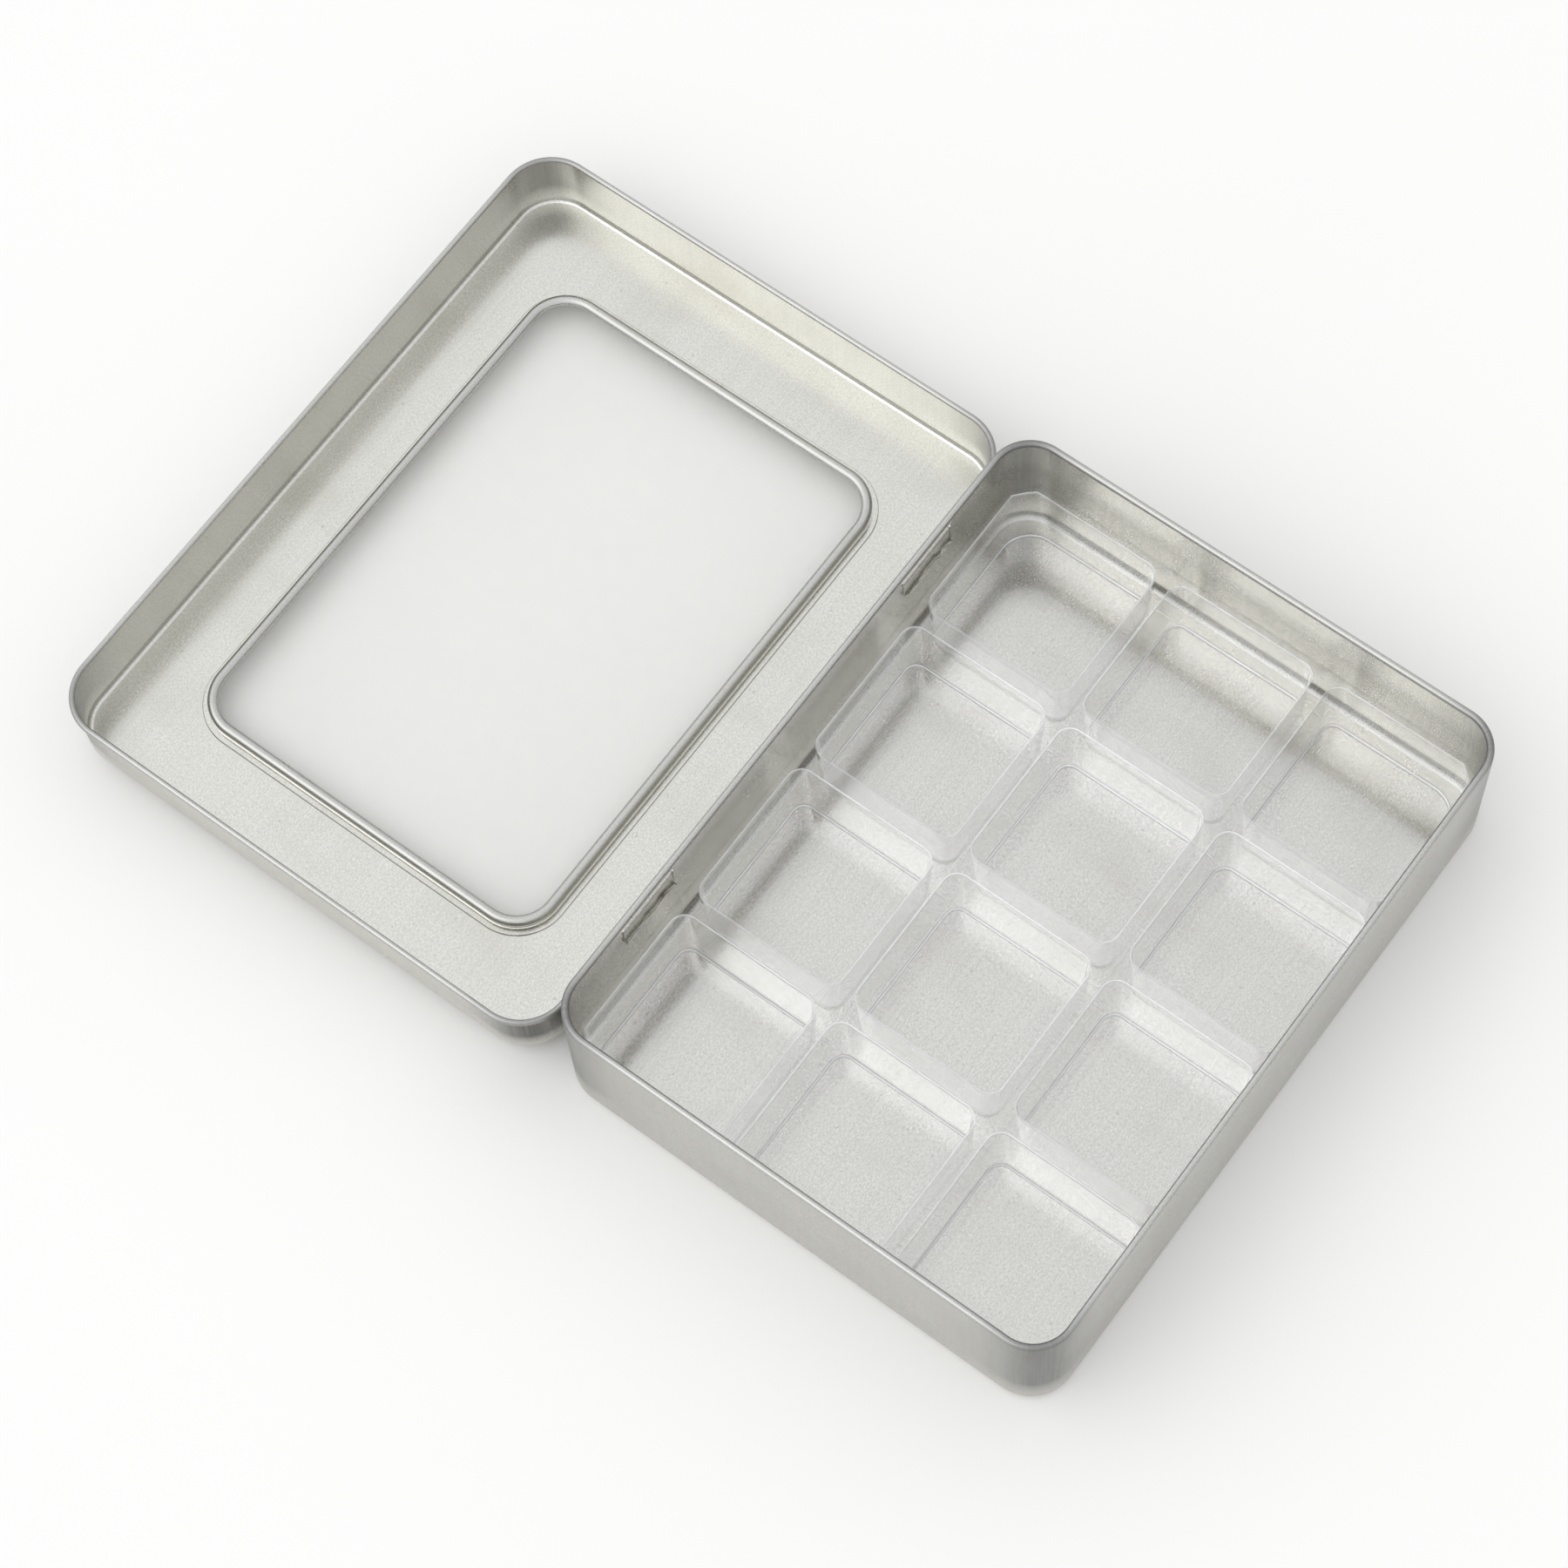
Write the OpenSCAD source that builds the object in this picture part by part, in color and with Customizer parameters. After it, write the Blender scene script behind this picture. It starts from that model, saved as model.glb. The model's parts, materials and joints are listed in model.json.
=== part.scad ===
/* [Base tin] */

// Length of the base along the hinge
base_length = 150; // [120:0.5:200]

// Width of the base from front wall to hinge wall
base_width = 112.5; // [90:0.5:150]

// Height of the base to the top of its rolled rim
base_height = 32.5; // [25:0.5:45]

// Outside corner radius of the base, seen from above
base_corner = 9; // [6:0.5:14]

// Outside radius where the base wall meets the floor
base_foot_radius = 2.5; // [1:0.1:4]

// Outside radius of the rim, which is rolled inwards
base_rim_radius = 0.75; // [0.5:0.05:1.2]

// Thickness of the tin sheet
sheet = 0.25; // [0.2:0.01:0.4]

/* [Lid] */

// Length of the lid along the hinge, over its rolled rim
lid_length = 154.8; // [124:0.1:205]

// Width of the lid, over its rolled rim
lid_width = 118.8; // [94:0.1:155]

// Depth of the lid, outside face to rim
lid_depth = 15.6; // [10:0.1:22]

// Outside corner radius of the lid rim
lid_corner = 10.6; // [7:0.1:16]

// Outside radius where the skirt meets the lid panel
lid_foot_radius = 1.8; // [1:0.1:4]

// Outside radius of the lid rim, which is rolled outwards
lid_rim_radius = 0.62; // [0.5:0.01:1]

// Gap between the base rim and the closed lid panel
lid_seat_gap = 0.1; // [0.05:0.01:0.3]

/* [Window] */

// Length of the window frame over its rolled bead
frame_length = 117.6; // [90:0.1:130]

// Width of the window frame over its rolled bead
frame_width = 84.3; // [60:0.1:95]

// Outside corner radius of the bead
frame_corner = 9.5; // [6:0.1:14]

// Outside radius of the rolled bead
bead_radius = 1.15; // [0.8:0.05:1.6]

// Height of the frame above the inside of the lid panel
frame_height = 3; // [2.5:0.1:4]

// Height of the curb that the window sheet lies on
curb_height = 1.6; // [1.2:0.1:2.2]

// Distance from the bead's outermost line in to the curb wall
curb_inset = 0.8; // [0.6:0.05:1.2]

// Width of the ledge at the top of the curb
curb_ledge = 1.1; // [0.8:0.05:2]

// Width of the frame's foot outside the bead
foot_reach = 1.2; // [0.8:0.1:2]

// Inside radius where the frame wall turns out into its foot
foot_bend = 0.5; // [0.3:0.1:0.7]

// Thickness of the clear window sheet
window_sheet_thickness = 0.3; // [0.2:0.05:0.5]

// Gap between the edge of the window sheet and the bead
window_sheet_gap = 0.2; // [0.1:0.05:0.4]

/* [Tray] */

// Length of the tray flange
tray_length = 146.4; // [110:0.1:190]

// Width of the tray flange
tray_width = 108.9; // [80:0.1:140]

// Height of the tray above its own foot
tray_height = 15.7; // [10:0.1:22]

// Thickness of the formed plastic
tray_wall = 0.35; // [0.25:0.05:0.6]

// Distance between compartment centres along the hinge
cell_pitch_x = 36.8; // [28:0.1:45]

// Distance between compartment centres, front to back
cell_pitch_y = 36.5; // [28:0.1:45]

// Length of a compartment at its mouth
cell_length = 32.7; // [24:0.1:40]

// Width of a compartment at its mouth
cell_width = 32.6; // [24:0.1:40]

// Amount each compartment wall leans in from mouth to floor
cell_lean = 0.5; // [0.3:0.1:3]

// Corner radius of a compartment at its mouth
cell_corner = 3; // [1.5:0.1:5]

// Radius where a compartment wall meets its floor
cell_foot_radius = 0.9; // [0.6:0.1:3]

// Length cut off each corner of the flange
flange_chamfer = 4.8; // [2:0.1:8]

// Gap between the base floor and the tray
tray_seat_gap = 0.05; // [0.02:0.01:0.2]

/* [Hinge] */

// Distance of each hinge strap from the middle of the box
strap_offset = 44; // [30:0.5:55]

// Width of each hinge strap
strap_width = 15; // [8:0.5:20]

// Width of the slot in the base for each strap
slot_width = 16.4; // [9:0.1:22]

// Height of the slot's lower edge above the table
slot_bottom = 25.6; // [23:0.1:26]

// Height of the slot
slot_height = 3; // [2:0.1:4]

// Length of the strap's tongue inside the box, down from the slot
tongue_length = 4.4; // [2:0.1:6]

// Outside radius of the curl at the end of the tongue
tongue_curl_radius = 0.45; // [0.35:0.05:0.6]

// Radial gap between the lid rim and the strap that holds it
hinge_fit = 0.05; // [0.02:0.01:0.1]

// Radial room cut in the skirt around each strap loop
notch_room = 0.33; // [0.2:0.01:0.6]

// End room cut in the skirt beside each strap
notch_end_gap = 0.4; // [0.2:0.1:1]

/* [Hidden] */

$fn = 48;
quarter = 90;
half = 2;
over = 1;
seam = 0.01;
cell_facets = 16;
cells_along_hinge = 4;
cells_front_to_back = 3;
tin_color = [0.78, 0.78, 0.75];
strap_color = [0.7, 0.7, 0.68];
clear_color = [0.85, 0.9, 0.9, 0.35];

base_half_x = base_length / half;
base_half_y = base_width / half;
lid_half_x = lid_length / half;
lid_half_y = lid_width / half;
hinge_y = lid_half_y - lid_rim_radius;
hinge_z = base_height + lid_seat_gap + sheet + lid_rim_radius - lid_depth;
lid_centre_y = hinge_y * half;
lid_floor_z = hinge_z + lid_rim_radius - lid_depth;
lid_skirt_face = lid_corner - lid_rim_radius * half + sheet;
frame_half_x = frame_length / half;
frame_half_y = frame_width / half;
curb_face = frame_corner - curb_inset;
bead_centre = frame_corner - bead_radius;
bead_height = frame_height - bead_radius;
sheet_half_x = frame_half_x - sheet - window_sheet_gap;
sheet_half_y = frame_half_y - sheet - window_sheet_gap;
tray_floor_z = sheet + tray_seat_gap;
tray_top_z = tray_floor_z + tray_height;
first_cell_x = -cell_pitch_x * (cells_along_hinge - 1) / half;
first_cell_y = -cell_pitch_y * (cells_front_to_back - 1) / half;
loop_inner = lid_rim_radius + hinge_fit;
loop_outer = loop_inner + sheet;
notch_radius = loop_outer + notch_room;
notch_width = strap_width + notch_end_gap * half;
strap_bridge_z = hinge_z + loop_outer - sheet - hinge_fit;
fold_radius = sheet * 3 / half;
fold_y = base_half_y - sheet / half;
tongue_face = base_half_y - sheet * half;
tongue_end_z = slot_bottom - tongue_length;

// Flat rounded rectangle
module rounded_plate(half_x, half_y, corner, thickness) {
    linear_extrude(height = thickness)
        union() {
            square([(half_x - corner) * half, half_y * half], center = true);
            square([half_x * half, (half_y - corner) * half], center = true);
            for (side_x = [-1, 1])
                for (side_y = [-1, 1])
                    translate([side_x * (half_x - corner), side_y * (half_y - corner)])
                        circle(r = corner);
        }
}

// Profile carried round a rounded rectangle; the profile's x is measured out from the corner centres
module round_the_box(half_x, half_y, corner) {
    run_x = half_x - corner;
    run_y = half_y - corner;
    for (turn = [0, 1, 2, 3]) {
        corner_x = (turn == 0 || turn == 3) ? run_x : -run_x;
        corner_y = (turn < 2) ? run_y : -run_y;
        run = (turn == 0 || turn == 2) ? run_y : run_x;
        translate([corner_x, corner_y, 0])
            rotate([0, 0, quarter * turn])
                rotate_extrude(angle = quarter)
                    children();
        translate([corner_x, corner_y, 0])
            rotate([0, 0, quarter * turn])
                rotate([quarter, 0, 0])
                    linear_extrude(height = run * half)
                        children();
    }
}

// Wall with a rounded foot below and a rolled rim above
module wall_profile(face, foot_radius, rim_radius, rim_centre, height) {
    translate([face - sheet, foot_radius])
        square([sheet, height - rim_radius - foot_radius]);
    difference() {
        translate([face - foot_radius, foot_radius])
            circle(r = foot_radius);
        translate([face - foot_radius, foot_radius])
            circle(r = foot_radius - sheet);
        translate([face - foot_radius * half - over, -over])
            square([foot_radius + over, foot_radius * half + over * half]);
        translate([face - foot_radius, foot_radius])
            square([foot_radius + over, foot_radius + over]);
    }
    difference() {
        translate([rim_centre, height - rim_radius])
            circle(r = rim_radius);
        translate([rim_centre, height - rim_radius])
            circle(r = rim_radius - sheet);
    }
}

module open_dish(half_x, half_y, corner, face, foot_radius, rim_radius, rim_centre, height) {
    shrink = corner - face + foot_radius;
    rounded_plate(half_x - shrink, half_y - shrink, corner - shrink, sheet);
    round_the_box(half_x, half_y, corner)
        wall_profile(face, foot_radius, rim_radius, rim_centre, height);
}

module base_tin() {
    color(tin_color)
        difference() {
            open_dish(base_half_x, base_half_y, base_corner, base_corner, base_foot_radius,
                      base_rim_radius, base_corner - base_rim_radius, base_height);
            for (side = [-1, 1])
                translate([side * strap_offset - slot_width / half, base_half_y - over, slot_bottom])
                    cube([slot_width, over * half, slot_height]);
        }
}

// Block that narrows from its mouth at zero height down to a bevelled foot
module cell_shape(length, width, corner, depth) {
    mouth_x = length / half - corner;
    mouth_y = width / half - corner;
    hull() {
        for (side_x = [-1, 1])
            for (side_y = [-1, 1]) {
                translate([side_x * mouth_x, side_y * mouth_y, -seam])
                    cylinder(r = corner, h = seam, $fn = cell_facets);
                translate([side_x * (mouth_x - cell_lean), side_y * (mouth_y - cell_lean),
                           cell_foot_radius - depth])
                    cylinder(r = corner, h = seam, $fn = cell_facets);
                translate([side_x * (mouth_x - cell_lean), side_y * (mouth_y - cell_lean), -depth])
                    cylinder(r = corner - cell_foot_radius, h = seam, $fn = cell_facets);
            }
    }
}

module in_each_cell() {
    for (column = [0 : cells_along_hinge - 1])
        for (row = [0 : cells_front_to_back - 1])
            translate([first_cell_x + column * cell_pitch_x, first_cell_y + row * cell_pitch_y, 0])
                children();
}

module insert_tray() {
    color(clear_color)
        translate([0, 0, tray_top_z])
            difference() {
                union() {
                    translate([0, 0, -tray_wall])
                        linear_extrude(height = tray_wall)
                            polygon([
                                [flange_chamfer - tray_length / half, -tray_width / half],
                                [tray_length / half - flange_chamfer, -tray_width / half],
                                [tray_length / half, flange_chamfer - tray_width / half],
                                [tray_length / half, tray_width / half - flange_chamfer],
                                [tray_length / half - flange_chamfer, tray_width / half],
                                [flange_chamfer - tray_length / half, tray_width / half],
                                [-tray_length / half, tray_width / half - flange_chamfer],
                                [-tray_length / half, flange_chamfer - tray_width / half]
                            ]);
                    in_each_cell()
                        cell_shape(cell_length + tray_wall * half, cell_width + tray_wall * half,
                                   cell_corner + tray_wall, tray_height);
                }
                translate([0, 0, seam])
                    in_each_cell()
                        cell_shape(cell_length, cell_width, cell_corner, tray_height - tray_wall + seam);
            }
}

// Loop round the lid's rim, plate up the outside of the wall, fold over the slot's lower edge,
// and tongue down the inside
module strap_profile() {
    difference() {
        union() {
            translate([hinge_y, hinge_z])
                circle(r = loop_outer);
            translate([base_half_y, strap_bridge_z])
                square([hinge_y - base_half_y, sheet]);
            translate([base_half_y, strap_bridge_z])
                square([sheet, slot_bottom - strap_bridge_z]);
        }
        translate([hinge_y, hinge_z])
            circle(r = loop_inner);
    }
    difference() {
        translate([fold_y, slot_bottom])
            circle(r = fold_radius);
        translate([fold_y, slot_bottom])
            circle(r = fold_radius - sheet);
        translate([fold_y - fold_radius - over, slot_bottom - fold_radius - over])
            square([(fold_radius + over) * half, fold_radius + over]);
    }
    translate([tongue_face, tongue_end_z])
        square([sheet, tongue_length]);
    difference() {
        translate([tongue_face + sheet - tongue_curl_radius, tongue_end_z])
            circle(r = tongue_curl_radius);
        translate([tongue_face + sheet - tongue_curl_radius, tongue_end_z])
            circle(r = tongue_curl_radius - sheet);
        translate([tongue_face + sheet - tongue_curl_radius * half - over, tongue_end_z])
            square([(tongue_curl_radius + over) * half, tongue_curl_radius + over]);
    }
}

module hinge_strap(side) {
    color(strap_color)
        translate([side * strap_offset - strap_width / half, 0, 0])
            rotate([quarter, 0, quarter])
                linear_extrude(height = strap_width)
                    strap_profile();
}

module hinge_strap_left() {
    hinge_strap(-1);
}

module hinge_strap_right() {
    hinge_strap(1);
}

// Upright wall and inward ledge around the window opening
module curb_profile() {
    translate([curb_face - sheet, 0])
        square([sheet, curb_height]);
    translate([curb_face - curb_ledge, curb_height - sheet])
        square([curb_ledge, sheet]);
}

module lid_tin() {
    opening_inset = curb_inset + sheet;
    color(tin_color)
        translate([0, lid_centre_y, lid_floor_z])
            difference() {
                union() {
                    difference() {
                        open_dish(lid_half_x, lid_half_y, lid_corner, lid_skirt_face, lid_foot_radius,
                                  lid_rim_radius, lid_corner - lid_rim_radius, lid_depth);
                        translate([0, 0, -over])
                            rounded_plate(frame_half_x - opening_inset, frame_half_y - opening_inset,
                                          frame_corner - opening_inset, sheet + over * half);
                    }
                    translate([0, 0, sheet])
                        round_the_box(frame_half_x, frame_half_y, frame_corner)
                            curb_profile();
                }
                for (side = [-1, 1])
                    translate([side * strap_offset - notch_width / half, lid_rim_radius - lid_half_y,
                               lid_depth - lid_rim_radius])
                        rotate([quarter, 0, quarter])
                            linear_extrude(height = notch_width)
                                difference() {
                                    circle(r = notch_radius);
                                    circle(r = lid_rim_radius - seam);
                                }
            }
}

// Rolled bead over the sheet's edge, short wall outside the curb, and foot on the lid panel
module frame_profile() {
    bend_x = curb_face + sheet + foot_bend;
    bend_height = foot_bend + sheet;
    difference() {
        union() {
            translate([bead_centre, bead_height])
                circle(r = bead_radius);
            translate([curb_face, bend_height])
                square([sheet, bead_height - bend_height]);
        }
        translate([bead_centre, bead_height])
            circle(r = bead_radius - sheet);
        translate([bead_centre - bead_radius - over, bead_height - bead_radius - over])
            square([curb_face - bead_centre + bead_radius + over,
                    curb_height + window_sheet_thickness - bead_height + bead_radius + over]);
    }
    difference() {
        translate([bend_x, bend_height])
            circle(r = foot_bend + sheet);
        translate([bend_x, bend_height])
            circle(r = foot_bend);
        translate([bend_x, -over])
            square([foot_bend + over, bend_height * half + over * half]);
        translate([bend_x - bend_height - over, bend_height])
            square([bend_height + over * half, bend_height + over]);
    }
    translate([bend_x, 0])
        square([frame_corner + foot_reach - bend_x, sheet]);
}

module window_ring() {
    color(tin_color)
        translate([0, lid_centre_y, lid_floor_z + sheet])
            round_the_box(frame_half_x, frame_half_y, frame_corner)
                frame_profile();
}

module window_sheet() {
    color(clear_color)
        translate([0, lid_centre_y, lid_floor_z + sheet + curb_height])
            rounded_plate(sheet_half_x, sheet_half_y, frame_corner - sheet - window_sheet_gap,
                          window_sheet_thickness);
}

base_tin();
insert_tray();
hinge_strap_left();
hinge_strap_right();
lid_tin();
window_ring();
window_sheet();
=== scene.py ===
"""Looks of a hinged tinplate box with a framed window in its lid and a clear insert in its base."""

import json
import math
from collections import namedtuple

import bmesh
import bpy
from mathutils import Matrix, Vector, noise


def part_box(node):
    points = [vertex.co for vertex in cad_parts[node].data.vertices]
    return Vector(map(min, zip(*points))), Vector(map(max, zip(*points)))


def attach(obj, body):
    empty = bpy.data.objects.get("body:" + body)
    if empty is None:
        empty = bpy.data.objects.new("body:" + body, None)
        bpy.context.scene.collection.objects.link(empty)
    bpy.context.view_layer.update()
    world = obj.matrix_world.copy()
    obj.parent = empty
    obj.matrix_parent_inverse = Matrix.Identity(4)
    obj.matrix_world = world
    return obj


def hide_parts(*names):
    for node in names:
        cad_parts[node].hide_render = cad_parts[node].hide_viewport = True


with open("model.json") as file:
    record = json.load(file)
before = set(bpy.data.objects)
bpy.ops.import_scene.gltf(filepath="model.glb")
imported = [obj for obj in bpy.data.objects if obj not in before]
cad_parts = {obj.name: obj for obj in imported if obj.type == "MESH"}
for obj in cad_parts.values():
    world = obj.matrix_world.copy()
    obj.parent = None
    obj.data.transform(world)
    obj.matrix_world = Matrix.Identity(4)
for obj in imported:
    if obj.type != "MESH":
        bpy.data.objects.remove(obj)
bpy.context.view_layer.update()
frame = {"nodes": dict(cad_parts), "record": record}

MM = 0.001
QUARTER_TURN = math.pi / 2
HALF_TURN = math.pi

# Camera: where it looks from, the point it looks at, and its focal length and sensor width, which
# Blender takes in millimetres
CAMERA_AZIMUTH = math.radians(-48.345)
CAMERA_ELEVATION = math.radians(66.856)
CAMERA_ROLL = math.radians(-5.355)
CAMERA_DISTANCE = 843.22 * MM
CAMERA_TARGET = Vector((-1.79, 57.02, 0)) * MM
CAMERA_LENS = 99.78
CAMERA_SENSOR = 36

# Studio floor: half its width in metres, squares along a side, and how far it lies under the object
FLOOR_HALF_WIDTH = 3
FLOOR_SEGMENTS = 8
FLOOR_DROP = 0.05 * MM

# Light tent: strength, colour, the side that glows a little more, the soft patch of a lamp behind it,
# and the height up to which it is dimmer, with its share of the strength at the horizon
TENT_STRENGTH = 1.12
TENT_COLOUR = (0.975, 0.988, 1.02, 1)
TENT_SIDE = (-0.75, 0.66, 0)
TENT_CONTRAST = 0.25
PATCH_DIRECTION = (-0.45, 0.35, 0.82)
PATCH_EDGE = math.cos(math.radians(32))
PATCH_CORE = math.cos(math.radians(10))
PATCH_STRENGTH = 0.75
HORIZON_TOP = 0.55
HORIZON_SHARE = 0.4

# Most bounces of light, of its reflections, and of its ways through clear plastic
MAX_BOUNCES = 12
GLOSSY_BOUNCES = 10
CLEAR_BOUNCES = 48

# Sheet metal: thickness, corner radii seen from above, foot radii outside and heel radii inside, and
# radii of the rolled rims with the degrees that they turn through
SHEET = 0.25 * MM
BASE_CORNER = 9 * MM
BASE_FOOT = 2.5 * MM
BASE_HEEL = 1.2 * MM
BASE_RIM = 0.75 * MM
LID_CORNER = 10.6 * MM
LID_FOOT = 1.8 * MM
LID_HEEL = 0.95 * MM
LID_RIM = 0.62 * MM
ROLL_TURN = 305

# Width of the flat ring that is lofted round a floor before it is capped or carried on
FLAT_EDGE = 1 * MM

# Shares of the height of the base's and the lid's straight wall that get a row of points
BASE_WALL_SHARES = (0.25, 0.5, 0.75)
LID_WALL_SHARES = (0.35, 0.7)

# Signs of making, which also carry painted shade: wear of the outside, which is also painted darker as
# shade, share of the draw marks and their painted shade left inside, how fast the marks and the shade
# fade along a straight wall, and how much weaker they are where that wall starts
OUTSIDE_WEAR_AND_SHADE = 0.85
INSIDE_MARKS_AND_SHADE = 0.75
MARKS_AND_SHADE_REACH = 7 * MM
MARKS_AND_SHADE_EDGE = 0.35

# Creases at formed corners: their length, and the third coordinate of the noise that places them
CREASE_LENGTH = 0.8 * MM
CREASE_SEED = 7

# Window frame: bead and the angle where it ends, foot and the crimping of its corners, and the curb of
# the lid that the frame grips
FRAME_CORNER = 9.5 * MM
BEAD_RADIUS = 1.15 * MM
BEAD_END = 176
FRAME_HEIGHT = 3 * MM
FOOT_REACH = 1.2 * MM
FOOT_BEND = 0.5 * MM
FOOT_CRIMP = 0.16 * MM
CURB_INSET = 0.8 * MM
CURB_LEDGE = 1.1 * MM
CURB_HEIGHT = 1.6 * MM
CURB_BEND = 0.3 * MM

# Clear insert: number, spacing and size of the compartments
TRAY_WALL = 0.35 * MM
CELLS_X = 4
CELLS_Y = 3
PITCH_X = 36.8 * MM
PITCH_Y = 36.5 * MM
CELL_X = 32.7 * MM
CELL_Y = 32.6 * MM
FLANGE_CHAMFER = 4.8 * MM

# One compartment: lean of its walls, radii of its corners, foot and lip, and depth of its creases
CELL_LEAN = 0.5 * MM
CELL_CORNER = 3 * MM
CELL_FOOT = 0.5 * MM
CELL_LIP = 0.25 * MM
CELL_LIP_MARGIN = 0.35 * MM
CELL_CREASE = 0.14 * MM

# The slanted corner of an end compartment: its size at mouth and foot, and its bulge towards an arc
CUT_CORNER = 3.4 * MM
CUT_FOOT_CORNER = 7 * MM
CUT_BULGE = 0.12

# Shares of a compartment's height that get a row of points, and of its foot's bend that gets strain
# whitening and a painted highlight
CELL_WALL_SHARES = (0.03, 0.25, 0.5, 0.75, 0.97)
WHITENED_HIGHLIGHT_LOW = 0.01
WHITENED_HIGHLIGHT_HIGH = 0.3

# A length that reaches past every edge of the insert
PAST_EDGES = 100 * MM

# Slots in the base for the hinge straps, and the depth of the block that cuts one
SLOT_WIDTH = 16.4 * MM
SLOT_BOTTOM = 25.6 * MM
SLOT_HEIGHT = 3 * MM
SLOT_CORNER = 0.9 * MM
SLOT_CUT_DEPTH = 4 * MM

# Hinge straps: fit and turn of the loop round the lid's rim, bend between bridge and plate, shares of
# the plate's and the tongue's length that get a row of points, and the tongue with its ragged curl
HINGE_FIT = 0.05 * MM
LOOP_START = -205
LOOP_TURN = 295
BRIDGE_BEND = 0.35 * MM
PLATE_SHARES = (0.3, 0.6, 0.85)
TONGUE_SHARES = (0.2, 0.4, 0.6, 0.8)
TONGUE_LENGTH = 4.4 * MM
TONGUE_CURL = 0.45 * MM
CURL_TURN = -200
RAGGED_LENGTH = 1.7 * MM

# Notches in the lid's skirt where the straps loop round its rim: room over a strap and at its ends,
# and the angles of the arc that is cut, as arc() counts them
NOTCH_ROOM = 0.33 * MM
NOTCH_END_GAP = 0.4 * MM
NOTCH_START = -100
NOTCH_END = -1

# Fineness of the meshes: steps round a corner, along a side and round each kind of bend, the distance
# at which points are merged, and the angle above which an edge stays sharp
ARC_STEPS = 24
SIDE_STEPS = 16
SLOT_CORNER_STEPS = 6
FOOT_STEPS = 10
ROLL_STEPS = 24
ROLL_INSIDE_STEPS = 20
NOTCH_STEPS = 10
CURB_STEPS = 5
FRAME_FOOT_STEPS = 8
BEAD_STEPS = 28
BEAD_INSIDE_STEPS = 24
CELL_LIP_STEPS = 5
CELL_FOOT_STEPS = 7
STRAP_LOOP_STEPS = 24
STRAP_BRIDGE_STEPS = 5
STRAP_FOLD_STEPS = 8
STRAP_COLUMNS = 30
MERGE_DISTANCE = 0.001 * MM
SHARP_ANGLE = math.radians(40)

# Colours, linear. The light and dark of a metal are the two ends of its rolling grain.
TINPLATE_LIGHT = (0.71, 0.702, 0.65, 1)
TINPLATE_DARK = (0.585, 0.577, 0.53, 1)
STRAP_LIGHT = (0.66, 0.65, 0.6, 1)
STRAP_DARK = (0.46, 0.45, 0.4, 1)
TARNISH_COLOUR = (0.5, 0.48, 0.41, 1)
SPECK_COLOUR = (0.32, 0.32, 0.29, 1)
# Near-black of the painted shade at the draw marks' corners
DRAWN_SHADE_COLOUR = (0.07, 0.07, 0.065, 1)
# Grey of the painted shade on worn rims and the base's outside
WORN_SHADE_COLOUR = (0.38, 0.38, 0.37, 1)
INSERT_CLEAR = (0.982, 0.981, 0.984, 1)
INSERT_EDGE_ON = (0.62, 0.63, 0.62, 1)
# White of the folds: strain whitening, and a painted highlight
INSERT_WHITENED_HIGHLIGHT = (0.93, 0.94, 0.93, 1)
WINDOW_CLEAR = (0.972, 0.972, 0.967, 1)
WINDOW_MILK = (0.85, 0.86, 0.85, 1)
GLOSS_COLOUR = (1, 1, 1, 1)
FLOOR_LOW = (0.862, 0.85, 0.818, 1)
FLOOR_HIGH = (0.882, 0.87, 0.838, 1)

# A place round an outline: centre of its corner, the way out from there, the corner's radius, distance
# along the outline, how deep in a corner's bend it is, and its share of the draw marks and their painted
# shade
Station = namedtuple("Station", "pivot outward radius along bend drawn")
# A row of a loft: its outline, inset and height, distance along the profile, wear and painted light, share
# of the draw marks and their painted shade, depth of its creases outward and up, and how much they slant
Row = namedtuple("Row", "stations inset z run wear drawn crimp slant", defaults=[0])
# A point of a row: its place, its spots in the two UV maps, its wear and painted light, and its share of
# the draw marks and their painted shade
Point = namedtuple("Point", "place plan unrolled wear drawn")


# ---------------------------------------------------------------- outlines and lofts


def stations(centre, half_x, half_y, radii, flat_corners=(), arc_steps=ARC_STEPS, side_steps=SIDE_STEPS):
    """Places round a rounded rectangle, anticlockwise from its +X side. The outline at some inset is
    pivot + outward * (radius - inset). A flat corner is cut nearly straight instead of being an arc."""
    made = []
    along = 0
    signs = [(1, 1), (-1, 1), (-1, -1), (1, -1)]
    pivots = [
        Vector((centre.x + sx * (half_x - radius), centre.y + sy * (half_y - radius)))
        for (sx, sy), radius in zip(signs, radii)
    ]
    for turn, (pivot, radius) in enumerate(zip(pivots, radii)):
        start, end = corner_ends(turn)
        for step in range(arc_steps + 1):
            share = step / arc_steps
            angle = QUARTER_TURN * share
            outward = start * math.cos(angle) + end * math.sin(angle)
            if turn in flat_corners:
                outward = start.lerp(end, share).lerp(outward, CUT_BULGE)
            bend = math.sin(HALF_TURN * share)
            # Draw marks and their painted shade: strongest in the middle of a corner, weaker where a
            # corner meets a side, and fading along a side with the distance to the nearer corner
            drawn = 1 + (bend - 1) * MARKS_AND_SHADE_EDGE
            made.append(Station(pivot, outward, radius, along + radius * angle, bend, drawn))
        along += radius * QUARTER_TURN
        following = (turn + 1) % len(pivots)
        last = pivot + end * radius
        gap = pivots[following] + end * radii[following] - last
        for step in range(1, side_steps):
            share = step / side_steps
            to_corner = gap.length * min(share, 1 - share)
            drawn = (1 - MARKS_AND_SHADE_EDGE) * math.exp(-to_corner / MARKS_AND_SHADE_REACH)
            made.append(Station(last + gap * share, end, 0, along + gap.length * share, 0, drawn))
        along += gap.length
    return made


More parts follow.
